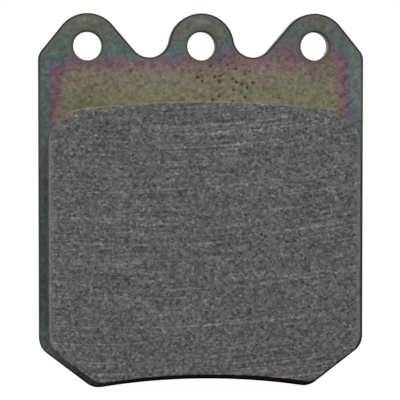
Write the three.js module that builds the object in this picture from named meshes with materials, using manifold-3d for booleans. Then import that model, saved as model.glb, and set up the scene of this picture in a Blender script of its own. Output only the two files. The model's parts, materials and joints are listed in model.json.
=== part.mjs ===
// Disc brake pad with three pin ears, in millimetres, +Z up.
// It stands the way it hangs in its caliper: ears up, friction face towards -Y and the
// piston side towards +Y. The origin is under the middle of the pad, at its lowest edge.
// Outlines are drawn in X and Z, and every curved edge across the pad is concentric with
// the disc, whose axis lies straight below.
import * as THREE from 'three';
import { mergeVertices } from 'three/addons/utils/BufferGeometryUtils.js';
import Module from 'manifold-3d';

const degrees = THREE.MathUtils.degToRad;

// Backing plate outline
const PLATE_WIDTH = 66.7;
const PIN_HEIGHT = 69.85;
const PIN_PITCH = 23.3;
const PIN_HOLE_DIAMETER = 5.8;
const EAR_RADIUS = 6.7;
const SCALLOP_HEIGHT = 71.65;
const SCALLOP_RADIUS = 4.1;
const SHOULDER_ANGLE = degrees(51);
const SHOULDER_RADIUS = 3;
const CHAMFER_ANGLE = degrees(37.5);
const CHAMFER_CORNER_RADIUS = 4.1;
const LOBE_SPACING = 42.3;
const LOBE_RADIUS = 4;
const PLATE_INNER_RADIUS = 137.2;

// Friction block outline: bond film, underlayer and lining share it
const BLOCK_MARGIN = 2;
const BLOCK_OUTER_RADIUS = 194;
const BLOCK_CORNER_RADIUS = 4.75;
const BLOCK_LOBE_RADIUS = 3.5;
const TOP_CHAMFER_HEIGHT = 52.4;
const TOP_CHAMFER_ANGLE = degrees(42);

// Anchor holes in the plate, and the plugs of underlayer pressed through them
const ANCHOR_HOLE_DIAMETER = 8;
const ANCHOR_SPACING = 33;
const ANCHOR_HEIGHTS = [17, 44];
const PLUG_GAP = 0.3;

// Thicknesses, from the piston side to the friction face
const PLATE_THICKNESS = 4.75;
const FILM_THICKNESS = 0.125;
const UNDERLAYER_THICKNESS = 1.875;
const LINING_THICKNESS = 7.75;

const ARC_STEP = degrees(9);
const ARCH_STEPS = 8;
const HOLE_SEGMENTS = 16;

const ORIGIN = new THREE.Vector2();
const LOBE = new THREE.Vector2(LOBE_SPACING / 2, LOBE_RADIUS);
const DISC_AXIS_Z = LOBE.y - Math.sqrt((PLATE_INNER_RADIUS + LOBE_RADIUS) ** 2 - LOBE.x ** 2);
const DISC_AXIS = new THREE.Vector2(0, DISC_AXIS_Z);
const CHAMFER_FACING = CHAMFER_ANGLE - Math.PI / 2;

// A point at a distance from a centre, in a direction given as an angle.
function polar(centre, distance, angle) {
  return new THREE.Vector2(Math.cos(angle), Math.sin(angle)).multiplyScalar(distance).add(centre);
}

// The direction from one point to another, as an angle.
function bearing(from, to) {
  return Math.atan2(to.y - from.y, to.x - from.x);
}

// Points of an arc, ends included.
function arc(centre, radius, from, to) {
  const steps = Math.ceil(Math.abs(to - from) / ARC_STEP);
  return Array.from({ length: steps + 1 }, (_, i) => (
    polar(centre, radius, from + ((to - from) * i) / steps)
  ));
}

// Points of a shallow arc about the disc's axis, from x = start to x = end.
function discArc(radius, start, end) {
  return Array.from({ length: ARCH_STEPS + 1 }, (_, i) => {
    const x = start + ((end - start) * i) / ARCH_STEPS;
    return new THREE.Vector2(x, DISC_AXIS.y + Math.sqrt(radius ** 2 - x ** 2));
  });
}

// The right-hand side edge meets a sloping edge at this height. The sloping edge faces
// along an angle and touches a circle.
function sideCorner(sideX, centre, radius, facing) {
  const run = sideX - centre.x;
  return new THREE.Vector2(
    sideX, centre.y + (radius - run * Math.cos(facing)) / Math.sin(facing),
  );
}

// The arc that rounds a corner between two straight edges, each facing along an angle.
function roundedCorner(corner, radius, firstFacing, secondFacing) {
  const middle = (firstFacing + secondFacing) / 2;
  const reach = radius / Math.cos((secondFacing - firstFacing) / 2);
  return arc(polar(corner, -reach, middle), radius, firstFacing, secondFacing);
}

// The centre of a circle inside the outline that touches a straight edge, given by a point
// on it and the way it faces, and an arc about the disc's axis.
function filletCentre(edgePoint, facing, radius, fromAxis) {
  const edgeFromAxis = edgePoint.clone().sub(DISC_AXIS).dot(polar(ORIGIN, 1, facing));
  return polar(DISC_AXIS, fromAxis, facing + Math.acos((edgeFromAxis - radius) / fromAxis));
}

// The whole outline, from its right half: the left half is its mirror image.
function mirrored(rightHalf) {
  const leftHalf = rightHalf.map((point) => new THREE.Vector2(-point.x, point.y)).reverse();
  const whole = [...rightHalf, ...leftHalf];
  return whole.filter((point, i) => point.distanceTo(whole.at(i - 1)) > 1e-6);
}

// The lower right edge: the concave arc on the disc's hub side, the round lobe, the chamfer
// and the corner to the side. The margin is how far it lies inside the plate's edge.
function lowerEdge(margin, lobeRadius, cornerRadius) {
  const arcRadius = PLATE_INNER_RADIUS + margin;
  const onChamfer = polar(LOBE, LOBE_RADIUS - margin, CHAMFER_FACING);
  const lobe = filletCentre(onChamfer, CHAMFER_FACING, lobeRadius, arcRadius + lobeRadius);
  const arcEnd = bearing(lobe, DISC_AXIS);
  const corner = sideCorner(PLATE_WIDTH / 2 - margin, lobe, lobeRadius, CHAMFER_FACING);
  return [
    ...discArc(arcRadius, 0, polar(lobe, lobeRadius, arcEnd).x),
    ...arc(lobe, lobeRadius, arcEnd, CHAMFER_FACING),
    ...roundedCorner(corner, cornerRadius, CHAMFER_FACING, 0),
  ];
}

function plateOutline() {
  const ear = new THREE.Vector2(PIN_PITCH, PIN_HEIGHT);
  const middleEar = new THREE.Vector2(0, PIN_HEIGHT);
  const shoulderFacing = Math.PI / 2 - SHOULDER_ANGLE;
  const shoulder = sideCorner(PLATE_WIDTH / 2, ear, EAR_RADIUS, shoulderFacing);

  // The scallop touches the middle ear, and a straight flank joins it to the outer ear
  const reach = EAR_RADIUS + SCALLOP_RADIUS;
  const scallopX = Math.sqrt(reach ** 2 - (SCALLOP_HEIGHT - PIN_HEIGHT) ** 2);
  const scallop = new THREE.Vector2(scallopX, SCALLOP_HEIGHT);
  const flankFacing = bearing(ear, scallop) - Math.acos(reach / ear.distanceTo(scallop));
  const touch = bearing(scallop, middleEar) + 2 * Math.PI;
  return mirrored([
    ...lowerEdge(0, LOBE_RADIUS, CHAMFER_CORNER_RADIUS),
    ...roundedCorner(shoulder, SHOULDER_RADIUS, 0, shoulderFacing),
    ...arc(ear, EAR_RADIUS, shoulderFacing, flankFacing),
    ...arc(scallop, SCALLOP_RADIUS, flankFacing + Math.PI, touch),
    ...arc(middleEar, EAR_RADIUS, touch - Math.PI, Math.PI / 2),
  ]);
}

// The block's top right edge is a chamfer, a rounded knee and the crown near the disc's rim.
function blockOutline() {
  const topFacing = Math.PI / 2 - TOP_CHAMFER_ANGLE;
  const corner = new THREE.Vector2(PLATE_WIDTH / 2 - BLOCK_MARGIN, TOP_CHAMFER_HEIGHT);
  const knee = filletCentre(
    corner, topFacing, BLOCK_CORNER_RADIUS, BLOCK_OUTER_RADIUS - BLOCK_CORNER_RADIUS,
  );
  const crownFacing = bearing(DISC_AXIS, knee);
  return mirrored([
    ...lowerEdge(BLOCK_MARGIN, BLOCK_LOBE_RADIUS, BLOCK_CORNER_RADIUS),
    ...roundedCorner(corner, BLOCK_CORNER_RADIUS, 0, topFacing),
    ...arc(knee, BLOCK_CORNER_RADIUS, topFacing, crownFacing),
    ...discArc(BLOCK_OUTER_RADIUS, polar(knee, BLOCK_CORNER_RADIUS, crownFacing).x, 0),
  ]);
}

// Extrudes an outline from y = 0 towards -Y, with round holes through it.
function slab(outline, thickness, holes) {
  const shape = new THREE.Shape(outline);
  for (const { x, z, diameter } of holes) {
    shape.holes.push(new THREE.Path().absarc(x, z, diameter / 2, 0, 2 * Math.PI, true));
  }
  const settings = { depth: thickness, bevelEnabled: false, curveSegments: HOLE_SEGMENTS };
  return new THREE.ExtrudeGeometry(shape, settings).rotateX(Math.PI / 2);
}

function finish(colour, roughness, metalness) {
  return new THREE.MeshStandardMaterial({ color: colour, roughness, metalness });
}

const wasm = await Module();
wasm.setup();

function toSolid(geometry) {
  geometry.deleteAttribute('normal');
  geometry.deleteAttribute('uv');
  const merged = mergeVertices(geometry);
  return new wasm.Manifold(new wasm.Mesh({
    numProp: 3,
    vertProperties: merged.getAttribute('position').array,
    triVerts: Uint32Array.from(merged.getIndex().array),
  }));
}

function toGeometry(solid) {
  const { vertProperties, triVerts } = solid.getMesh();
  const geometry = new THREE.BufferGeometry();
  geometry.setAttribute('position', new THREE.BufferAttribute(vertProperties, 3));
  geometry.setIndex(new THREE.BufferAttribute(triVerts, 1));
  geometry.computeVertexNormals();
  return geometry;
}

// Stamped steel plate, zinc plated and passivated
function backingPlate(anchorHoles) {
  const pinHoles = [-PIN_PITCH, 0, PIN_PITCH].map((x) => (
    { x, z: PIN_HEIGHT, diameter: PIN_HOLE_DIAMETER }
  ));
  const geometry = slab(plateOutline(), PLATE_THICKNESS, [...pinHoles, ...anchorHoles]);
  return new THREE.Mesh(geometry, finish(0x6d685a, 0.42, 0.85));
}

// Baked adhesive between the plate and the moulded block, open at the anchor holes
function bondFilm(anchorHoles) {
  const geometry = slab(blockOutline(), FILM_THICKNESS, anchorHoles);
  return new THREE.Mesh(geometry, finish(0x4a3a26, 0.7, 0));
}

// Heat-insulating layer under the lining, with the plugs that fill the anchor holes
function underlayer(anchorHoles) {
  const plugLength = PLATE_THICKNESS + FILM_THICKNESS;
  const overlap = UNDERLAYER_THICKNESS / 2;
  let solid = toSolid(slab(blockOutline(), UNDERLAYER_THICKNESS, []));
  for (const { x, z, diameter } of anchorHoles) {
    const plug = new THREE.CylinderGeometry(
      diameter / 2 - PLUG_GAP, diameter / 2 - PLUG_GAP, plugLength + overlap, 2 * HOLE_SEGMENTS,
    );
    plug.translate(x, (plugLength - overlap) / 2, z);
    solid = solid.add(toSolid(plug));
  }
  return new THREE.Mesh(toGeometry(solid), finish(0x4b4944, 0.9, 0.05));
}

// Moulded friction compound, ground flat on its face
function frictionLining() {
  const geometry = slab(blockOutline(), LINING_THICKNESS, []);
  return new THREE.Mesh(geometry, finish(0x5b5b5b, 0.85, 0.1));
}

const anchors = ANCHOR_HEIGHTS.flatMap((z) => [-1, 1].map((side) => (
  { x: side * ANCHOR_SPACING / 2, z, diameter: ANCHOR_HOLE_DIAMETER }
)));

// The pieces are stacked from the piston side, the stack centred on y = 0
const stack = [
  ['backing_plate', backingPlate(anchors), PLATE_THICKNESS],
  ['bond_film', bondFilm(anchors), FILM_THICKNESS],
  ['underlayer', underlayer(anchors), UNDERLAYER_THICKNESS],
  ['friction_lining', frictionLining(), LINING_THICKNESS],
];
const brakePad = new THREE.Group();
let backFace = stack.reduce((total, [, , thickness]) => total + thickness, 0) / 2;
for (const [name, piece, thickness] of stack) {
  piece.name = name;
  piece.position.y = backFace;
  backFace -= thickness;
  brakePad.add(piece);
}

export default brakePad;
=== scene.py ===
import cmath
import json
import math

import bpy
import numpy as np
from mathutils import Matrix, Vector, geometry, kdtree, noise


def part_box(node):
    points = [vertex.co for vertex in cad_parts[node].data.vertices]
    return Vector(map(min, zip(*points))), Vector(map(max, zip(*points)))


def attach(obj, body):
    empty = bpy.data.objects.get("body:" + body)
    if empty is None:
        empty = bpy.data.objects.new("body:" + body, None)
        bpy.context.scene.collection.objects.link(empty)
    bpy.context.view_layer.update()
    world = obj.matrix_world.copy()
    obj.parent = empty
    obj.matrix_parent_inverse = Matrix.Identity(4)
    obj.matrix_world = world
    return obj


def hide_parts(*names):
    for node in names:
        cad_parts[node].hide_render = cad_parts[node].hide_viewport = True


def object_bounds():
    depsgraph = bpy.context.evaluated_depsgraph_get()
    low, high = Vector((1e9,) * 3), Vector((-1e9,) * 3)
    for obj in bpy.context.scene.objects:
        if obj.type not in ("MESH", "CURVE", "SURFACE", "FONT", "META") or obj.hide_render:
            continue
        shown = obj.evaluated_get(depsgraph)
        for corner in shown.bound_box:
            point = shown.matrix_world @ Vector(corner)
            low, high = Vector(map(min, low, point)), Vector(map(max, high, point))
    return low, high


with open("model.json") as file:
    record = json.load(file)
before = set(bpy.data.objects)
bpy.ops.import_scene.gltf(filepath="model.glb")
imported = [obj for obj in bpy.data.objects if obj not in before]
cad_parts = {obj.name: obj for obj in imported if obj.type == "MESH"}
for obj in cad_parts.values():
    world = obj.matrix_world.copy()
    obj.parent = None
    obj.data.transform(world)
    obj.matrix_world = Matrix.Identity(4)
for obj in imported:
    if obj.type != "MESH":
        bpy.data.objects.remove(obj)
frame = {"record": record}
cad_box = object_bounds()

# ---------------------------------------------------------------------------------------
# The camera stands half a metre off the friction face with a long lens, a little to the
# left of the pad and a little above its middle, so that the pad shows almost square on.
MM = 0.001
CAMERA_DISTANCE = 467 * MM
CAMERA_LEFT = math.radians(4.6)
CAMERA_ABOVE = math.radians(2.5)
CAMERA_FOCAL = 205.15
AIM_LEFT = 0.33 * MM
AIM_UP = 0.11 * MM

plate_low, plate_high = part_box("backing_plate")
pad_middle = (cad_box[0].z + cad_box[1].z) / 2
aim = Vector((-AIM_LEFT, plate_low.y, pad_middle + AIM_UP))
towards_camera = Vector((
    -math.sin(CAMERA_LEFT) * math.cos(CAMERA_ABOVE),
    -math.cos(CAMERA_LEFT) * math.cos(CAMERA_ABOVE),
    math.sin(CAMERA_ABOVE),
))
camera = bpy.data.objects.new("camera", bpy.data.cameras.new("camera"))
camera.data.lens = CAMERA_FOCAL
camera.data.clip_start = 10 * MM
camera.data.clip_end = 5.0
camera.location = aim + CAMERA_DISTANCE * towards_camera
camera.rotation_mode = "QUATERNION"
camera.rotation_quaternion = (-towards_camera).to_track_quat("-Z", "Y")
bpy.context.scene.collection.objects.link(camera)
bpy.context.scene.camera = camera

# ---------------------------------------------------------------------------------------
# The studio: a white floor and surround, one broad soft lamp above the camera and a weak one
# on the left. The surround is brightest behind the pad and dimmest at its sides, so that the
# pad's rolled edges read as thin dark lines.
FLOOR_SIZE = 20.0
FLOOR_PAINT = 0.15
FLOOR_GLOW = 0.975
KEY_PLACE = Vector((0.03, -0.98, 0.62))
KEY_SIZE = 0.7
KEY_POWER = 10.9
SIDE_PLACE = Vector((-0.95, -0.4, 0.3))
SIDE_SIZE = 0.4
SIDE_POWER = 5.6
GLOW_BEFORE = 0.3
GLOW_BESIDE = 0.25
GLOW_BEHIND = 0.85
FLOOR_GLOW_BEHIND = 0.45
FLOOR_GLOW_RISE = 100 * MM


def plug(tree, socket, value):
    """Links an output to a socket, or sets the socket's own value."""
    if isinstance(value, bpy.types.Node):
        value = value.outputs[0]
    if isinstance(value, bpy.types.NodeSocket):
        tree.links.new(value, socket)
    else:
        socket.default_value = value


def node(tree, kind, **settings):
    """Adds a shader node. Capitalised settings are its inputs by name, the list called
    inputs fills them in order, and the rest are the node's own."""
    made = tree.nodes.new("ShaderNode" + kind)
    for place, value in enumerate(settings.pop("inputs", [])):
        if value is not None:
            plug(tree, made.inputs[place], value)
    for name, value in settings.items():
        if name[0].isupper():
            plug(tree, made.inputs[name.replace("_", " ")], value)
        else:
            setattr(made, name, value)
    return made


def blend_of(tree, value, stops):
    """A colour ramp over a value: stops are (place, colour or grey)."""
    made = node(tree, "ValToRGB", Fac=value)
    while len(made.color_ramp.elements) < len(stops):
        made.color_ramp.elements.new(0.5)
    for element, (place, colour) in zip(made.color_ramp.elements, stops):
        element.position = place
        element.color = (*colour, 1) if isinstance(colour, tuple) else (colour, colour, colour, 1)
    return made


def new_material(name):
    """A material with an empty node tree, and the tree."""
    material = bpy.data.materials.new(name)
    material.use_nodes = True
    material.node_tree.nodes.clear()
    return material, material.node_tree


half = FLOOR_SIZE / 2
floor_mesh = bpy.data.meshes.new("floor")
floor_mesh.from_pydata(
    [(-half, -half, 0), (half, -half, 0), (half, half, 0), (-half, half, 0)], [], [(0, 1, 2, 3)],
)
floor = bpy.data.objects.new("floor", floor_mesh)
floor.location.z = cad_box[0].z
bpy.context.scene.collection.objects.link(floor)
studio_white, tree = new_material("studio_white")
seen = node(tree, "LightPath").outputs["Is Camera Ray"]
paint = node(tree, "BsdfDiffuse", Color=(FLOOR_PAINT, FLOOR_PAINT, FLOOR_PAINT, 1))
across_floor = node(tree, "SeparateXYZ", inputs=[node(tree, "TexCoord").outputs["Object"]])
behind = node(tree, "MapRange", inputs=[
    across_floor.outputs["Y"], 0.0, FLOOR_GLOW_RISE, 0.0, FLOOR_GLOW_BEHIND,
])
strength = node(tree, "MixRGB", Fac=seen, Color1=behind, Color2=(FLOOR_GLOW,) * 3 + (1,))
glow = node(tree, "Emission", Color=(1, 1, 1, 1), Strength=strength)
mixed = node(tree, "AddShader", inputs=[paint, glow])
node(tree, "OutputMaterial", Surface=mixed)
floor_mesh.materials.append(studio_white)

world = bpy.data.worlds.new("surround")
bpy.context.scene.world = world
world.use_nodes = True
tree = world.node_tree
tree.nodes.clear()
seen = node(tree, "LightPath").outputs["Is Camera Ray"]
towards = node(tree, "SeparateXYZ", inputs=[node(tree, "TexCoord").outputs["Generated"]])
behind = node(tree, "MapRange", inputs=[towards.outputs["Y"], -1.0, 1.0, 0.0, 1.0])
round_about = blend_of(tree, behind, [(0, GLOW_BEFORE), (0.5, GLOW_BESIDE), (1, GLOW_BEHIND)])
surround = node(tree, "Background", Color=round_about, Strength=1.0)
backdrop = node(tree, "Background", Color=(1, 1, 1, 1), Strength=1.0)
mixed = node(tree, "MixShader", inputs=[seen, surround, backdrop])
node(tree, "OutputWorld", Surface=mixed)

for name, place, size, power in (
    ("key", KEY_PLACE, KEY_SIZE, KEY_POWER),
    ("side", SIDE_PLACE, SIDE_SIZE, SIDE_POWER),
):
    lamp = bpy.data.objects.new(name, bpy.data.lights.new(name, "AREA"))
    lamp.data.size = size
    lamp.data.energy = power
    lamp.location = place
    lamp.rotation_mode = "QUATERNION"
    lamp.rotation_quaternion = (aim - place).to_track_quat("-Z", "Y")
    bpy.context.scene.collection.objects.link(lamp)
bpy.context.scene.view_settings.view_transform = "Standard"

# ---------------------------------------------------------------------------------------
# Backing plate: steel blanked in one stroke, so its front edges are rolled over, its walls
# are sheared and then broken, and its back edges are sharp. Zinc plated, then passivated to
# a film whose thickness shows as teal, magenta, tan and olive gold.
EAR_RADIUS = 6.7 * MM
PIN_HOLE_RADIUS = 2.9 * MM
SCALLOP_RISE = 1.8 * MM
SCALLOP_RADIUS = 4.1 * MM
SHOULDER_FACING = math.radians(39)
SHOULDER_RADIUS = 3 * MM
CHAMFER_FACING = math.radians(37.5 - 90)
CHAMFER_CORNER_RADIUS = 4.1 * MM
LOBE_X = 21.15 * MM
LOBE_RADIUS = 4 * MM
PLATE_INNER_RADIUS = 137.2 * MM
ANCHOR_HOLE_RADIUS = 4 * MM
ANCHOR_X = 16.5 * MM
ANCHOR_HEIGHTS = (17 * MM, 44 * MM)

WALL_INSET = 0.01 * MM
EDGE_ROLL = 0.4 * MM
HOLE_ROLL = 0.22 * MM
ROLL_STEPS = 6
BREAK_INSET = 0.08 * MM
BURR_CHAMFER = 0.1 * MM
OUTLINE_STEP = 0.3 * MM
PLATE_GRID = 0.6 * MM
ARC_STEP = math.radians(2)
DISC_ARC_POINTS = 60
SHARP_ANGLE = math.radians(38)

# Depths of the sheared wall's rows as shares of the plate, and where the metal breaks away
SHEAR_ROWS = (0.25, 0.45, 0.65, 0.72)
BREAK_ROW = 0.76

# Shares of a face's grid spacing: between its rows, and kept free beside rims and pits
ROW_PITCH = 0.87
RIM_GAP = 0.55
PIT_GAP = 0.4

GATHERED_PITS = 44
SCATTERED_PITS = 50
LARGE_PITS = 26
LARGE_PIT_RADIUS = (0.25 * MM, 0.5 * MM)
SMALL_PIT_RADIUS = (0.12 * MM, 0.3 * MM)
PIT_SHALLOWNESS = 0.05
PIT_SPACING = 0.25 * MM
PIT_TO_EDGE = 1.1 * MM
PIT_CORNERS = 9
PIT_RINGS = ((0.7, 0.7), (1.0, 0.0))

# The finish's grain in lumps per metre, its bands along the edges, and its colours
CLOUDS = 420.0
MOTTLE = 1350.0
GRAIN = 3400.0
DIE_LINES = 4200.0
SPECKS = 2100.0
FILM_DRIFT = 0.17
GRAIN_DEPTH = 0.008 * MM
EDGE_RAGGEDNESS = 0.3 * MM
RIM_FADES = (0.45 * MM, 1.3 * MM)
EDGE_SHADE_FADES = (0.24 * MM, 0.55 * MM)
BREAK_FADES = (1.4 * MM, 1.1 * MM)
WORN_ZINC = (0.30, 0.30, 0.26, 1)
OLIVE_RIM = (0.078, 0.078, 0.052, 1)
# Painted shade on the rolled edges
EDGE_SHADE = (0.012, 0.011, 0.007, 1)
PIT_DIRT = (0.05, 0.04, 0.025, 1)

# Points across the pad are complex numbers: x + 1j * z.
half_width = plate_high.x
pin_height = plate_high.z - EAR_RADIUS
pins = [
    complex((o["box_m"][0][0] + o["box_m"][1][0]) / 2, pin_height)
    for o in frame["record"]["physics"]["openings"] if o["name"].endswith("pin_hole")
]
lobe = complex(LOBE_X, LOBE_RADIUS)
disc_axis = 1j * (LOBE_RADIUS - math.sqrt((PLATE_INNER_RADIUS + LOBE_RADIUS) ** 2 - LOBE_X ** 2))


def bearing(start, end):
    """The angle at which one point sees another."""
    return cmath.phase(end - start)


def arc(centre, radius, start, end):
    """Points of an arc, ends included."""
    steps = max(1, math.ceil(abs(end - start) / ARC_STEP))
    turns = [start + (end - start) * i / steps for i in range(steps + 1)]
    return [centre + cmath.rect(radius, turn) for turn in turns]


def disc_arc(radius, start, end):
    """Points of a shallow arc about the disc's axis, from x = start to x = end."""
    across = np.linspace(start, end, DISC_ARC_POINTS)
    return [disc_axis + complex(x, math.sqrt(radius ** 2 - x ** 2)) for x in across]


def side_corner(side, centre, radius, facing):
    """Where the side edge meets a sloping edge that touches a circle."""
    run = side - centre.real
    return complex(side, centre.imag + (radius - run * math.cos(facing)) / math.sin(facing))


def rounded_corner(corner, radius, first, second):
    """The arc that rounds a corner between edges facing along two angles."""
    centre = corner - cmath.rect(radius / math.cos((second - first) / 2), (first + second) / 2)
    return arc(centre, radius, first, second)


def fillet_centre(edge_point, facing, radius, from_axis):
    """Centre of the circle that touches a straight edge and an arc about the disc's axis."""
    edge = ((edge_point - disc_axis) * cmath.rect(1, -facing)).real
    return disc_axis + cmath.rect(from_axis, facing + math.acos((edge - radius) / from_axis))


def lower_edge(margin, lobe_radius, corner_radius):
    """The right half's lower edge, a margin inside the plate's: arch, lobe and chamfer."""
    arch = PLATE_INNER_RADIUS + margin
    on_chamfer = lobe + cmath.rect(LOBE_RADIUS - margin, CHAMFER_FACING)
    foot = fillet_centre(on_chamfer, CHAMFER_FACING, lobe_radius, arch + lobe_radius)
    down = bearing(foot, disc_axis)
    corner = side_corner(half_width - margin, foot, lobe_radius, CHAMFER_FACING)
    return [
        *disc_arc(arch, 0, (foot + cmath.rect(lobe_radius, down)).real),
        *arc(foot, lobe_radius, down, CHAMFER_FACING),
        *rounded_corner(corner, corner_radius, CHAMFER_FACING, 0),
    ]


def whole_outline(right_half):
    """The closed outline, counter-clockwise, in even steps, from its right half."""
    loop = np.array(right_half + [complex(-p.real, p.imag) for p in reversed(right_half)])
    loop = loop[np.abs(loop - np.roll(loop, 1)) > 1e-7]
    closed = np.append(loop, loop[0])
    along = np.concatenate([[0], np.cumsum(np.abs(np.diff(closed)))])
    at = np.linspace(0, along[-1], round(along[-1] / OUTLINE_STEP), endpoint=False)
    return np.interp(at, along, closed.real) + 1j * np.interp(at, along, closed.imag)


def plate_outline():
    """The plate's edge: arch, lobes, cut corners, shoulders, ears and scallops."""
    ear, middle_ear = pins[2], pins[1]
    shoulder = side_corner(half_width, ear, EAR_RADIUS, SHOULDER_FACING)
    reach = EAR_RADIUS + SCALLOP_RADIUS
    scallop = complex(math.sqrt(reach ** 2 - SCALLOP_RISE ** 2), pin_height + SCALLOP_RISE)
    flank = bearing(ear, scallop) - math.acos(reach / abs(scallop - ear))
    touch = bearing(scallop, middle_ear) + 2 * math.pi
    return whole_outline([
        *lower_edge(0, LOBE_RADIUS, CHAMFER_CORNER_RADIUS),
        *rounded_corner(shoulder, SHOULDER_RADIUS, 0, SHOULDER_FACING),
        *arc(ear, EAR_RADIUS, SHOULDER_FACING, flank + 2 * math.pi if flank < 0 else flank),
        *arc(scallop, SCALLOP_RADIUS, flank + math.pi, touch),
        *arc(middle_ear, EAR_RADIUS, touch - math.pi, math.pi / 2),
    ])


def hole_outline(centre, radius):
    """A round hole's edge, clockwise, so that the material is on its left."""
    count = round(2 * math.pi * radius / OUTLINE_STEP)
    return centre + radius * np.exp(-2j * np.pi * np.arange(count) / count)


def moved_in(loop, distance):
    """The outline moved sideways into the material."""
    ahead = np.roll(loop, -1) - np.roll(loop, 1)
    return loop + 1j * ahead / np.abs(ahead) * distance


def distance_to(points, targets):
    """How far each point lies from the nearest target point."""
    near = kdtree.KDTree(len(targets))
    for number, target in enumerate(targets):
        near.insert((target.real, target.imag, 0), number)
    near.balance()
    return np.array([near.find((p.real, p.imag, 0))[2] for p in points])


class Shell:
    """One piece's surface, gathered row by row from the friction side to the piston side."""

    def __init__(self):
        self.across = []
        self.depth = []
        self.faces = []

    def row(self, loop, depth):
        """Adds points at a depth, and returns their numbers."""
        first = len(self.across)
        self.across.extend(loop)
        self.depth.extend(np.broadcast_to(depth, len(loop)))
        return np.arange(first, first + len(loop))

    def wall(self, loop, profile):
        """A wall along an outline. The profile lists how far each row stands inside the
        outline, and its depth, from front to back. Returns the first and last rows."""
        rows = [self.row(moved_in(loop, inset), depth) for inset, depth in profile]
        for front, back in zip(rows, rows[1:]):
            self.faces.extend(zip(front, back, np.roll(back, -1), np.roll(front, -1)))
        return rows[0], rows[-1]

    def cap(self, rims, depth, spacing, pits=(), faces_front=True):
        """Closes the face between the rims with small triangles. Each pit is a centre, a
        radius and how deep it is sunk."""
        loops = [np.array(self.across)[rim] for rim in rims]
        rim_points = np.concatenate(loops)
        grid = []
        heights = np.arange(loops[0].imag.min(), loops[0].imag.max(), spacing * ROW_PITCH)
        for line, z in enumerate(heights):
            hits = []
            for loop in loops:
                end = np.roll(loop, -1)
                crossed = (loop.imag > z) != (end.imag > z)
                a, b = loop[crossed], end[crossed]
                hits.extend(a.real + (z - a.imag) / (b.imag - a.imag) * (b.real - a.real))
            steps = math.ceil(half_width / spacing)
            x = (np.arange(-steps, steps) + line % 2 / 2) * spacing
            grid.append(x[np.searchsorted(sorted(hits), x) % 2 == 1] + 1j * z)
        grid = np.concatenate(grid)
        grid = grid[distance_to(grid, rim_points) > spacing * RIM_GAP]
        inner, sunk = [], []
        for centre, radius, deep in pits:
            grid = grid[np.abs(grid - centre) > radius + spacing * PIT_GAP]
            inner.append(centre)
            sunk.append(deep)
            for share, part in PIT_RINGS:
                turns = 2 * np.pi * (np.arange(PIT_CORNERS) + share) / PIT_CORNERS
                inner.extend(centre + radius * share * np.exp(1j * turns))
                sunk.extend([deep * part] * PIT_CORNERS)
        inner.extend(grid)
        sunk.extend([0.0] * len(grid))
        sign = 1 if faces_front else -1
        added = self.row(np.array(inner), depth + sign * np.array(sunk))
        numbers = np.concatenate([*rims, added])
        place = {number: i for i, number in enumerate(numbers)}
        edges = [(place[a], place[b]) for rim in rims for a, b in zip(rim, np.roll(rim, -1))]
        flat = [Vector((self.across[n].real, self.across[n].imag)) for n in numbers]
        made = geometry.delaunay_2d_cdt(flat, edges, [], 1, 1e-9)
        source = [numbers[origin[0]] for origin in made[3]]
        holes = [(loop.mean(), abs(loop[0] - loop.mean())) for loop in loops[1:]]
        for face in made[2]:
            corners = [source[i] for i in face]
            middle = sum(self.across[n] for n in corners) / 3
            if all(abs(middle - centre) > radius for centre, radius in holes):
                self.faces.append(corners if faces_front else corners[::-1])

    def piece(self, name, material, slot, *nodes):
        """Makes the Blender object, which rides on the pad and stands for the CAD nodes."""
        points = [(p.real, y, p.imag) for p, y in zip(self.across, self.depth)]
        mesh = bpy.data.meshes.new(name)
        mesh.from_pydata(points, [], [tuple(int(n) for n in face) for face in self.faces])
        mesh.polygons.foreach_set("use_smooth", [True] * len(mesh.polygons))
        mesh.set_sharp_from_angle(angle=SHARP_ANGLE)
        mesh.materials.append(material)
        made = bpy.data.objects.new(name, mesh)
        bpy.context.scene.collection.objects.link(made)
        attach(made, "root")
        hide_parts(*nodes)
        return made


def rolled_edge(across, deep, face_depth):
    """The profile of an edge rounded over: (inset, depth) from the face to the wall."""
    turns = [math.pi / 2 * i / ROLL_STEPS for i in range(ROLL_STEPS + 1)]
    return [
        (WALL_INSET + across * (1 - math.sin(t)), face_depth + deep * (1 - math.cos(t)))
        for t in turns
    ]


def painted_on(made, name, values):
    """Stores a value on each of the piece's points, for its material to read."""
    made.data.attributes.new(name, "FLOAT", "POINT").data.foreach_set("value", values)


def painted(tree, name):
    """Reads a value stored by painted_on."""
    return node(tree, "Attribute", attribute_name=name).outputs["Fac"]


def spot(points, x, z, wide, tall):
    """A soft round patch, in millimetres: 1 at its middle, fading out over its half-width
    and half-height."""
    return np.exp(-((points.real / MM - x) / wide) ** 2 - ((points.imag / MM - z) / tall) ** 2)


front, back = plate_low.y, plate_high.y
outline = plate_outline()
pin_holes = [hole_outline(pin, PIN_HOLE_RADIUS) for pin in pins]
anchors = [complex(side * ANCHOR_X, z) for z in ANCHOR_HEIGHTS for side in (-1, 1)]
anchor_holes = [hole_outline(anchor, ANCHOR_HOLE_RADIUS) for anchor in anchors]
rims = np.concatenate([outline, *pin_holes])

# Pits in the plating gather beside the middle ear and thin out away from it
chance = np.random.default_rng(11)
gathered = chance.normal((5.2, 62.6), (3.4, 2.5), (GATHERED_PITS, 2))
scattered = chance.uniform((-31, 56), (31, 67), (SCATTERED_PITS, 2))
pits = []
for x, z in np.concatenate([gathered, scattered]) * MM:
    radius = chance.uniform(*(LARGE_PIT_RADIUS if len(pits) < LARGE_PITS else SMALL_PIT_RADIUS))
    place = complex(x, z)
    clear = min(abs(place - other) - radius - r for other, r, deep in pits) if pits else 1
    if clear > PIT_SPACING and np.abs(rims - place).min() > PIT_TO_EDGE:
        pits.append((place, radius, radius * PIT_SHALLOWNESS))

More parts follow.
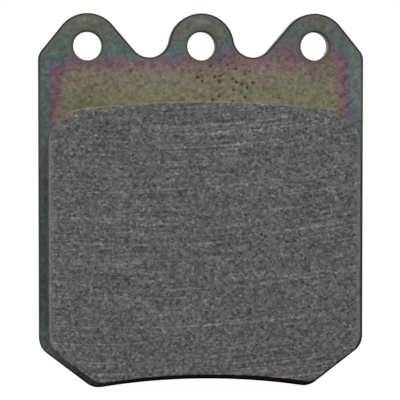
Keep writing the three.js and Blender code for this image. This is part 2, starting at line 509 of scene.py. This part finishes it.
plate = Shell()
front_rims, back_rims = [], []
thickness = back - front
shear = [(WALL_INSET, front + thickness * share) for share in SHEAR_ROWS]
breakage = [
    (BREAK_INSET * 0.8, front + thickness * BREAK_ROW),
    (BREAK_INSET, back - BURR_CHAMFER),
]
for loop in [outline, *pin_holes, *anchor_holes]:
    roll = EDGE_ROLL if loop is outline else HOLE_ROLL
    burr = (BREAK_INSET + BURR_CHAMFER, back)
    profile = [*rolled_edge(roll, roll * 0.7, front), *shear, *breakage, burr]
    first, last = plate.wall(loop, profile)
    front_rims.append(first)
    back_rims.append(last)
plate.cap(front_rims, front, PLATE_GRID, pits)
plate.cap(back_rims, back, PLATE_GRID * 1.5, faces_front=False)

plated_steel, tree = new_material("plated_steel")
where = node(tree, "TexCoord").outputs["Object"]

# The film's colour follows its thickness, and drifts in clouds
clouds = node(tree, "TexNoise", Vector=where, Scale=CLOUDS, Detail=5.0, Roughness=0.7)
drift = node(tree, "MapRange", inputs=[clouds, 0.3, 0.7, -FILM_DRIFT, FILM_DRIFT])
film_here = node(tree, "Math", operation="ADD", inputs=[painted(tree, "film"), drift])
colours = blend_of(tree, film_here, [
    (0.0, (0.084, 0.088, 0.072)),  # thinnest: grey green
    (0.1, (0.080, 0.095, 0.082)),
    (0.2, (0.056, 0.098, 0.092)),  # teal
    (0.3, (0.082, 0.088, 0.098)),
    (0.42, (0.112, 0.067, 0.091)),  # magenta
    (0.54, (0.136, 0.080, 0.088)),
    (0.68, (0.142, 0.112, 0.090)),  # tan
    (0.84, (0.144, 0.129, 0.086)),
    (1.0, (0.137, 0.141, 0.082)),  # thickest: olive gold
])

# The zinc under it is mottled, and rubbed light on the ears
flat_along = node(tree, "VectorMath", operation="MULTIPLY", inputs=[where, (0.8, 1.0, 1.0)])
mottle = node(tree, "TexNoise", Vector=flat_along, Scale=MOTTLE, Detail=3.0, Roughness=0.65)
shade = node(tree, "MapRange", inputs=[mottle, 0.3, 0.7, 0.56, 1.42])
mottled = node(tree, "VectorMath", operation="SCALE", inputs=[colours], Scale=shade)
worn_patchily = node(tree, "MapRange", inputs=[mottle, 0.4, 0.6, 0.2, 1.0])
worn = node(tree, "Math", operation="MULTIPLY", inputs=[painted(tree, "wear_and_painted_highlight"), worn_patchily])
lightened = node(tree, "MixRGB", Fac=worn, Color1=mottled, Color2=WORN_ZINC)

# Towards an edge come a ragged olive rim and then a dark line of painted shade on the rolled edge
edge = painted(tree, "edge")
ragged = node(tree, "MapRange", inputs=[mottle, 0.3, 0.7, -EDGE_RAGGEDNESS, EDGE_RAGGEDNESS])
edge_here = node(tree, "Math", operation="ADD", inputs=[edge, ragged])
rim = node(tree, "MapRange", inputs=[edge_here, *RIM_FADES, 0.85, 0.0])
rim_here = node(tree, "Math", operation="MULTIPLY", inputs=[rim, painted(tree, "rim")])
rimmed = node(tree, "MixRGB", Fac=rim_here, Color1=lightened, Color2=OLIVE_RIM)
edge_shade = node(tree, "MapRange", inputs=[edge, *EDGE_SHADE_FADES, 1.0, 0.0])
edge_shade_here = node(tree, "Math", operation="MULTIPLY", inputs=[edge_shade, painted(tree, "edge_shade")])
edge_shaded = node(tree, "MixRGB", Fac=edge_shade_here, Color1=rimmed, Color2=EDGE_SHADE)
# Scaled by the painted brightness, which holds painted light in the lower left corner
toned = node(tree, "VectorMath", operation="SCALE", inputs=[edge_shaded], Scale=painted(tree, "tone_and_painted_light"))

# The walls show the die's drag lines, and torn metal towards the back
along_wall = node(tree, "VectorMath", operation="MULTIPLY", inputs=[where, (1.0, 0.06, 1.0)])
die_lines = node(tree, "TexNoise", Vector=along_wall, Scale=DIE_LINES, Detail=3.0, Roughness=0.6)
sheared = blend_of(tree, die_lines, [(0.3, (0.08, 0.076, 0.056)), (0.7, (0.22, 0.21, 0.16))])
depth = node(tree, "SeparateXYZ", inputs=[where]).outputs["Y"]
ripple = node(tree, "MapRange", inputs=[clouds, 0.3, 0.7, -EDGE_RAGGEDNESS, EDGE_RAGGEDNESS])
depth_here = node(tree, "Math", operation="ADD", inputs=[depth, ripple])
break_starts, break_ends = (back - height for height in BREAK_FADES)
broken = node(tree, "MapRange", inputs=[depth_here, break_starts, break_ends, 0.0, 1.0])
torn = blend_of(tree, mottle, [(0.35, (0.04, 0.037, 0.028)), (0.7, (0.12, 0.11, 0.08))])
walled = node(tree, "MixRGB", Fac=broken, Color1=sheared, Color2=torn)
plated = node(tree, "MixRGB", Fac=painted(tree, "wall"), Color1=toned, Color2=walled)

# Pits and specks hold brown dirt
speckle = node(tree, "TexNoise", Vector=where, Scale=SPECKS, Detail=2.0, Roughness=0.5)
specks = node(tree, "MapRange", inputs=[speckle, 0.57, 0.67, 0.0, 0.7])
stain = node(tree, "Math", operation="MULTIPLY", inputs=[specks, painted(tree, "spotty")])
dirt = node(tree, "Math", operation="MAXIMUM", inputs=[painted(tree, "pit"), stain])
stained = node(tree, "MixRGB", Fac=dirt, Color1=plated, Color2=PIT_DIRT)

gloss = node(tree, "MapRange", inputs=[mottle, 0.3, 0.7, 0.41, 0.57])
grain = node(tree, "TexNoise", Vector=where, Scale=GRAIN, Detail=2.0, Roughness=0.6)
bumps = node(tree, "Bump", Strength=0.4, Distance=GRAIN_DEPTH, Height=grain)
steel = node(
    tree, "BsdfPrincipled", Base_Color=stained, Roughness=gloss, Metallic=0.75, Normal=bumps,
)
node(tree, "OutputMaterial", Surface=steel)

backing_plate = plate.piece("backing_plate_steel", plated_steel, "plated_steel", "backing_plate")
across = np.array(plate.across)
depths = np.array(plate.depth)
from_rim = distance_to(across, rims)
from_side = (half_width - np.abs(across.real)) / MM
from_side = np.where(across.imag < 50 * MM, distance_to(across, outline) / MM, from_side)
leaning = (across.imag - 0.02 * across.real) / MM
film_values = np.interp(
    from_side, (0, 1.4, 2.1, 2.9, 3.6, 4.9, 7), (0.12, 0.2, 0.31, 0.45, 0.56, 0.74, 1.0),
)
film_values *= np.interp(
    leaning, (58.5, 61.5, 64, 65.7, 67.3, 69, 71.5, 76.5),
    (1.0, 0.88, 0.76, 0.62, 0.38, 0.22, 0.12, 0.02),
)
# Tongues of thicker film reach up the flanks of the ears, and thinner ones down the sides
film_values += 0.17 * spot(across, -30.7, 65.3, 1.2, 3.0)
film_values += 0.16 * spot(across, 5.8, 68.8, 2.2, 1.8)
film_values += 0.24 * spot(across, 17.4, 68.8, 1.8, 2.2)
film_values += 0.26 * spot(across, 27.4, 68.6, 1.4, 2.6)
film_values += 0.12 * spot(across, 18.8, 73.0, 2.6, 2.6)
film_values += 0.20 * spot(across, -32.2, 45.0, 1.4, 7.0)
film_values -= 0.18 * spot(across, 29.6, 57.5, 1.5, 4.5)
film_values -= 0.28 * spot(across, 23.0, 64.2, 0.9, 1.2)
film_values -= 0.12 * spot(across, 0.0, 72.0, 5.0, 4.0)
painted_on(backing_plate, "film", film_values)

# Brightness painted across the plate: darker on the left, brighter in the right corner and the
# dips between the ears, and painted light in the lower left corner, where the block shades it
tones_and_painted_light = 1.0 - 0.24 * spot(across, -24.0, 57.0, 7.0, 4.0)
tones_and_painted_light += 0.45 * spot(across, 32.0, 61.0, 2.2, 9.0)
tones_and_painted_light += 0.14 * spot(across, 12.0, 66.0, 5.0, 3.0)
tones_and_painted_light += 0.12 * spot(across, -11.5, 67.0, 4.0, 2.5)
tones_and_painted_light += 0.15 * spot(across, -3.8, 70.0, 2.0, 3.0)
tones_and_painted_light += 1.5 * spot(across, -29.5, 5.0, 6.0, 6.0)
painted_on(backing_plate, "tone_and_painted_light", tones_and_painted_light)

# The olive rim and the painted shade on the rolled edges are strongest on the ears
high_up = across.imag / MM
by_hole = distance_to(across, np.concatenate(pin_holes)) < 1.6 * MM
painted_on(backing_plate, "edge", from_rim)
painted_on(backing_plate, "rim", np.where(by_hole, 1.0, np.interp(high_up, (67, 72), (0.3, 1.0))))
painted_on(backing_plate, "edge_shade", np.where(by_hole, 0.4, np.interp(high_up, (60, 68), (0.5, 1.0))))

# Walls, pits, the stained patch beside the middle ear, and the ears' rubbed tops
below_face = depths - front
on_front = below_face < 0.2 * MM
on_wall = (below_face > 0.2 * MM) & (depths < back - 0.01 * MM)
sunk = (below_face > 0.01 * MM) & on_front & (from_rim > EDGE_ROLL)
rubbed_tops = spot(across, -0.8, 75.0, 2.4, 0.7) + spot(across, -23.5, 75.3, 2.0, 0.7)
painted_on(backing_plate, "wall", np.where(on_wall, 1.0, 0.0))
painted_on(backing_plate, "pit", np.where(sunk, 1.0, 0.0))
painted_on(backing_plate, "spotty", on_front * (0.22 + 0.78 * spot(across, 3.6, 66.0, 2.6, 3.2)))
painted_on(backing_plate, "wear_and_painted_highlight", on_front * 0.2 * rubbed_tops)

# ---------------------------------------------------------------------------------------
# Bond film: phenolic adhesive, brushed on the plate and baked as the block is moulded to
# it. What squeezes out stands around the block's foot as a thin ragged bead.
BLOCK_MARGIN = 2 * MM
BLOCK_OUTER_RADIUS = 194 * MM
BLOCK_CORNER_RADIUS = 4.75 * MM
BLOCK_LOBE_RADIUS = 3.5 * MM
TOP_CHAMFER_HEIGHT = 52.4 * MM
TOP_CHAMFER_FACING = math.radians(48)

BEAD_WIDTH = 0.2 * MM
BEAD_LUMP = 1.4 * MM
BEAD_ROOT = 0.03 * MM
BEAD_ROLL = 0.05 * MM
BLOTCHES = 700.0
HIDDEN_GRID = 3 * MM
film_low, film_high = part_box("bond_film")


def block_outline():
    """Where the friction block stands on the plate."""
    corner = complex(half_width - BLOCK_MARGIN, TOP_CHAMFER_HEIGHT)
    knee = fillet_centre(
        corner, TOP_CHAMFER_FACING, BLOCK_CORNER_RADIUS, BLOCK_OUTER_RADIUS - BLOCK_CORNER_RADIUS,
    )
    crown = bearing(disc_axis, knee)
    return whole_outline([
        *lower_edge(BLOCK_MARGIN, BLOCK_LOBE_RADIUS, BLOCK_CORNER_RADIUS),
        *rounded_corner(corner, BLOCK_CORNER_RADIUS, 0, TOP_CHAMFER_FACING),
        *arc(knee, BLOCK_CORNER_RADIUS, TOP_CHAMFER_FACING, crown),
        *disc_arc(BLOCK_OUTER_RADIUS, (knee + cmath.rect(BLOCK_CORNER_RADIUS, crown)).real, 0),
    ])


def lumps(points, size, seed):
    """Smooth noise about 0 at points across the pad, in lumps of that size."""
    return np.array([noise.noise(Vector((p.real / size, p.imag / size, seed))) for p in points])


block = block_outline()
bead_reach = BEAD_WIDTH * (1 + 1.1 * lumps(block, BEAD_LUMP, 3.0))
bond = Shell()
first, last = bond.wall(block, [
    (0.0, film_low.y - BEAD_ROOT),
    (-bead_reach * 0.5, film_low.y),
    (-bead_reach * 0.9, film_high.y - BEAD_ROLL),
    (-bead_reach, film_high.y),
])
bond.cap([first], film_low.y - BEAD_ROOT, HIDDEN_GRID)
bond.cap([last], film_high.y, HIDDEN_GRID, faces_front=False)

bond_adhesive, tree = new_material("bond_adhesive")
where = node(tree, "TexCoord").outputs["Object"]
blotch = node(tree, "TexNoise", Vector=where, Scale=BLOTCHES, Detail=4.0, Roughness=0.6)
# The bead's colour holds painted shade below 52 mm, along the block's sides and bottom, and
# painted light along its top
bead_shaded_tone = blend_of(tree, blotch, [(0.35, (0.018, 0.015, 0.01)), (0.65, (0.07, 0.065, 0.045))])
bead_lit_tone = blend_of(tree, blotch, [(0.35, (0.1, 0.095, 0.055)), (0.65, (0.19, 0.18, 0.11))])
colour = node(tree, "MixRGB", Fac=painted(tree, "bead_lit_share"), Color1=bead_shaded_tone, Color2=bead_lit_tone)
bumps = node(tree, "Bump", Strength=0.4, Distance=0.03 * MM, Height=blotch)
glue = node(tree, "BsdfPrincipled", Base_Color=colour, Roughness=0.55, Normal=bumps)
node(tree, "OutputMaterial", Surface=glue)

bond_bead = bond.piece("bond_film_bead", bond_adhesive, "bond_adhesive", "bond_film")
bead_heights = np.array(bond.across).imag / MM
# Painted light along the bead's top, painted shade below 52 mm
painted_on(bond_bead, "bead_lit_share", np.interp(bead_heights, (52, 56), (0, 1)))

# ---------------------------------------------------------------------------------------
# Underlayer: a browner, finer compound pressed in the mould under the lining, to hold it to
# the plate and keep heat from the fluid. It fills the plate's anchor holes as four plugs,
# whose ends show at the back, and it meets the lining along a slightly wavy line.
UNDERLAYER_WAVE = 0.16 * MM
PLUG_RADIUS = ANCHOR_HOLE_RADIUS - 0.04 * MM
PLUG_DISH = 0.22 * MM
PLUG_SINK = 0.06 * MM
PLUG_EDGE = 0.12 * MM
PLUG_GRID = 0.5 * MM
COARSE_SPECKS = 1900.0
under_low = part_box("underlayer")[0]

meeting = under_low.y + UNDERLAYER_WAVE * lumps(block, 5 * MM, 8.0)
under = Shell()
first, last = under.wall(block, [
    (WALL_INSET, meeting),
    (WALL_INSET + 0.03 * MM * (1 + lumps(block, 1 * MM, 5.0)), (under_low.y + film_low.y) / 2),
    (WALL_INSET, film_low.y),
])
under.cap([first], under_low.y, HIDDEN_GRID)
under.cap([last], film_low.y, HIDDEN_GRID, faces_front=False)
plug_root = film_low.y - 0.1 * MM
for anchor in anchors:
    round_plug = np.conj(hole_outline(0, PLUG_RADIUS)) + anchor
    first, last = under.wall(round_plug, [
        (0, plug_root),
        (0, back - 0.15 * MM),
        (PLUG_EDGE, back - PLUG_SINK),
    ])
    under.cap([first], plug_root, 1 * MM)
    dish = [(anchor, PLUG_RADIUS * 0.75, PLUG_DISH)]
    under.cap([last], back - PLUG_SINK, PLUG_GRID, dish, faces_front=False)

underlayer_compound, tree = new_material("underlayer_compound")
where = node(tree, "TexCoord").outputs["Object"]
speck = node(tree, "TexNoise", Vector=where, Scale=COARSE_SPECKS, Detail=4.0, Roughness=0.65)
colour = blend_of(tree, speck, [
    (0.3, (0.022, 0.018, 0.014)),
    (0.5, (0.065, 0.055, 0.043)),
    (0.62, (0.095, 0.08, 0.06)),
    (0.75, (0.2, 0.17, 0.12)),
])
bumps = node(tree, "Bump", Strength=0.7, Distance=0.05 * MM, Height=speck)
pressed = node(tree, "BsdfPrincipled", Base_Color=colour, Roughness=0.85, Normal=bumps)
node(tree, "OutputMaterial", Surface=pressed)

under.piece("underlayer_block", underlayer_compound, "underlayer_compound", "underlayer")

# ---------------------------------------------------------------------------------------
# Friction lining: grit, graphite, metal chips and fibre in phenolic resin, hot pressed onto
# the underlayer. Its sides keep the mould's dark skin. Its face is ground flat, which opens
# small pores, leaves faint arced scratches and breaks little chips from its edge.
EDGE_BREAK = 0.16 * MM
CHIP_COUNT = 16
CHIP_WIDTHS = (0.35 * MM, 0.9 * MM)
CHIP_BITES = (0.12 * MM, 0.42 * MM)
PORE_COUNT = 300
PORE_RADII = (0.1 * MM, 0.26 * MM)
PORE_TO_EDGE = 1.3 * MM
PORE_DEPTH = 0.6
PORE_SPACING = 0.35 * MM
LINING_GRID = 0.75 * MM
SIDE_ROWS = 5
GRINDING_CENTRE = Vector((-15 * MM, 0, 290 * MM))
COPPER_FLECK = Vector((14.6 * MM, 0, 3.2 * MM))
COPPER_FADES = (0.3 * MM, 0.6 * MM)

# The compound's grain in lumps per metre, the scratches' run along the grinding arc, and
# the colours of what shows in the ground face
GRIT = 2300.0
GRIT_WARP = 1300.0
BINDER = 1900.0
METAL_FLECKS = 300.0
SCRATCHES = 1900.0
SCRATCH_PATCHES = 105.0
SCORES = 1700.0
DRAG_MARKS = 2200.0
SCRATCH_RUN = 0.008
SCORE_RUN = 0.003
GRIT_PUSH = 0.5 * MM
FACE_RELIEF = 0.05 * MM
BRIGHT_METAL = (0.24, 0.24, 0.235, 1)
COPPER = (0.24, 0.075, 0.035, 1)
# A painted highlight along the face's left and right edges
EDGE_HIGHLIGHT = (0.15, 0.15, 0.148, 1)
PORE_SHADE = (0.022, 0.022, 0.022, 1)

lining_low, lining_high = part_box("friction_lining")
face = lining_low.y

chance = np.random.default_rng(23)
edge_break = EDGE_BREAK * (1 + 0.9 * lumps(block, 1.2 * MM, 13.0))
for chip in chance.integers(0, len(block), CHIP_COUNT):
    size = chance.uniform(*CHIP_WIDTHS)
    bite = chance.uniform(*CHIP_BITES)
    edge_break += bite * np.exp(-(np.abs(block - block[chip]) / size) ** 2)
pores = []
inside = moved_in(block, PORE_TO_EDGE)
while len(pores) < PORE_COUNT:
    x, z = chance.uniform((-31, 0.5), (31, 57)) * MM
    place = complex(x, z)
    radius = chance.uniform(*PORE_RADII)
    crossings = (inside.imag > z) != (np.roll(inside, -1).imag > z)
    enclosed = np.count_nonzero(crossings & (inside.real > x)) % 2 == 1
    clear = min(abs(place - other) - radius - r for other, r, deep in pores) if pores else 1
    if enclosed and clear > PORE_SPACING:
        pores.append((place, radius, radius * PORE_DEPTH))

lining = Shell()
side_depths = np.linspace(face + 0.8 * MM, lining_high.y - 0.6 * MM, SIDE_ROWS)
side_skin = [
    (WALL_INSET + 0.02 * MM * (1 + lumps(block, 2 * MM, depth * 900)), depth)
    for depth in side_depths
]
first, last = lining.wall(block, [
    *rolled_edge(edge_break, edge_break * 0.8, face),
    *side_skin,
    (WALL_INSET, meeting),
])
lining.cap([first], face, LINING_GRID, pores)
lining.cap([last], lining_high.y, HIDDEN_GRID, faces_front=False)

friction_compound, tree = new_material("friction_compound")
where = node(tree, "TexCoord").outputs["Object"]

# Angular grit of many greys in a lumpy binder
warp = node(tree, "TexNoise", Vector=where, Scale=GRIT_WARP, Detail=2.0).outputs["Color"]
pushed = node(tree, "VectorMath", operation="SCALE", inputs=[warp], Scale=GRIT_PUSH)
warped = node(tree, "VectorMath", operation="ADD", inputs=[where, pushed])
grit = node(tree, "TexVoronoi", Vector=warped, Scale=GRIT)
grit_tone = node(tree, "SeparateXYZ", inputs=[grit.outputs["Color"]]).outputs["X"]
grains = blend_of(tree, grit_tone, [
    (0.0, 0.04), (0.25, 0.066), (0.55, 0.084), (0.8, 0.102), (0.95, 0.12), (1.0, 0.16),
])
flat_along = node(tree, "VectorMath", operation="MULTIPLY", inputs=[where, (0.55, 1.0, 1.0)])
binder = node(tree, "TexNoise", Vector=flat_along, Scale=BINDER, Detail=2.0, Roughness=0.6)
lumpy = node(tree, "MapRange", inputs=[binder, 0.3, 0.7, 0.7, 1.3])
toned = node(tree, "VectorMath", operation="SCALE", inputs=[grains], Scale=lumpy)

# Bright chips of metal, of which the thickest show largest
fleck = node(tree, "TexVoronoi", Vector=warped, Scale=METAL_FLECKS)
fleck_pick = node(tree, "SeparateXYZ", inputs=[fleck.outputs["Color"]]).outputs["Y"]
fleck_size = node(tree, "MapRange", inputs=[fleck_pick, 0.7, 1.0, 0.0, 0.09])
fleck_distance = fleck.outputs["Distance"]
fleck_edge = node(tree, "Math", operation="SUBTRACT", inputs=[fleck_size, fleck_distance])
fleck_here = node(tree, "MapRange", inputs=[fleck_edge, 0.0, 0.02, 0.0, 0.75])
flecked = node(tree, "MixRGB", Fac=fleck_here, Color1=toned, Color2=BRIGHT_METAL)

# Scratches and long scores run round the grinding wheel's centre
from_centre = node(tree, "VectorMath", operation="SUBTRACT", inputs=[where, GRINDING_CENTRE])
swung = node(tree, "SeparateXYZ", inputs=[from_centre])
angle = node(tree, "Math", operation="ARCTAN2", inputs=[swung.outputs["X"], swung.outputs["Z"]])
flat_away = node(tree, "VectorMath", operation="MULTIPLY", inputs=[from_centre, (1, 0, 1)])
away = node(tree, "VectorMath", operation="LENGTH", inputs=[flat_away]).outputs["Value"]
scratch_run = node(tree, "Math", operation="MULTIPLY", inputs=[angle, SCRATCH_RUN])
scratch_path = node(tree, "CombineXYZ", inputs=[away, scratch_run, 0.0])
scratch = node(tree, "TexNoise", Vector=scratch_path, Scale=SCRATCHES, Detail=2.0, Roughness=0.6)
patches = node(tree, "TexNoise", Vector=where, Scale=SCRATCH_PATCHES, Detail=2.0)
scratch_share = node(tree, "MapRange", inputs=[patches, 0.4, 0.62, 0.1, 1.0])
scratch_tone = node(tree, "MapRange", inputs=[scratch, 0.3, 0.7, -0.45, 0.45])
scratch_part = node(tree, "Math", operation="MULTIPLY", inputs=[scratch_tone, scratch_share])
score_run = node(tree, "Math", operation="MULTIPLY", inputs=[angle, SCORE_RUN])
score_path = node(tree, "CombineXYZ", inputs=[away, score_run, 0.0])
score = node(tree, "TexNoise", Vector=score_path, Scale=SCORES, Detail=1.0)
score_tone = node(tree, "MapRange", inputs=[score, 0.585, 0.7, 1.0, 1.5])
scratched = node(tree, "Math", operation="ADD", inputs=[scratch_part, score_tone])
streaked = node(tree, "VectorMath", operation="SCALE", inputs=[flecked], Scale=scratched)

# One copper chip, a painted highlight along the face's left and right edges, and painted shade in
# the open pores
flat_where = node(tree, "VectorMath", operation="MULTIPLY", inputs=[where, (1, 0, 1)])
to_copper = node(tree, "VectorMath", operation="DISTANCE", inputs=[flat_where, COPPER_FLECK])
copper_here = node(tree, "MapRange", inputs=[to_copper.outputs["Value"], *COPPER_FADES, 0.8, 0.0])
coppery = node(tree, "MixRGB", Fac=copper_here, Color1=streaked, Color2=COPPER)
edge_highlighted = node(tree, "MixRGB", Fac=painted(tree, "wear_and_painted_highlight"), Color1=coppery, Color2=EDGE_HIGHLIGHT)
open_pore = node(tree, "MixRGB", Fac=painted(tree, "pore"), Color1=edge_highlighted, Color2=PORE_SHADE)

# The moulded sides are dark and drag marked
drawn = node(tree, "VectorMath", operation="MULTIPLY", inputs=[where, (1.0, 0.12, 1.0)])
drag = node(tree, "TexNoise", Vector=drawn, Scale=DRAG_MARKS, Detail=3.0, Roughness=0.6)
skin = blend_of(tree, drag, [(0.3, 0.04), (0.55, 0.075), (0.75, 0.14)])
surface = node(tree, "MixRGB", Fac=painted(tree, "ground"), Color1=skin, Color2=open_pore)

rough = node(tree, "MapRange", inputs=[grit_tone, 0.0, 1.0, 0.92, 0.68])
relief = node(tree, "Math", operation="ADD", inputs=[binder, scratch_part])
bumps = node(tree, "Bump", Strength=0.6, Distance=FACE_RELIEF, Height=relief)
compound = node(tree, "BsdfPrincipled", Base_Color=surface, Roughness=rough, Normal=bumps)
node(tree, "OutputMaterial", Surface=compound)

friction_lining = lining.piece(
    "friction_lining_block", friction_compound, "friction_compound", "friction_lining",
)
across = np.array(lining.across)
below_face = np.array(lining.depth) - face
sunk = (below_face > 0.01 * MM) & (below_face < 0.5 * MM)
sunk &= distance_to(across, block) > 0.9 * MM
painted_on(friction_lining, "ground", np.clip(1.6 - below_face / (0.2 * MM), 0, 1))
painted_on(friction_lining, "pore", np.where(sunk, 1.0, 0.0))
# A painted highlight just inside the face's left and right edges
from_edge = (half_width - BLOCK_MARGIN - np.abs(across.real)) / MM
painted_on(friction_lining, "wear_and_painted_highlight", 0.6 * np.exp(-((from_edge - 0.2) / 0.35) ** 2))
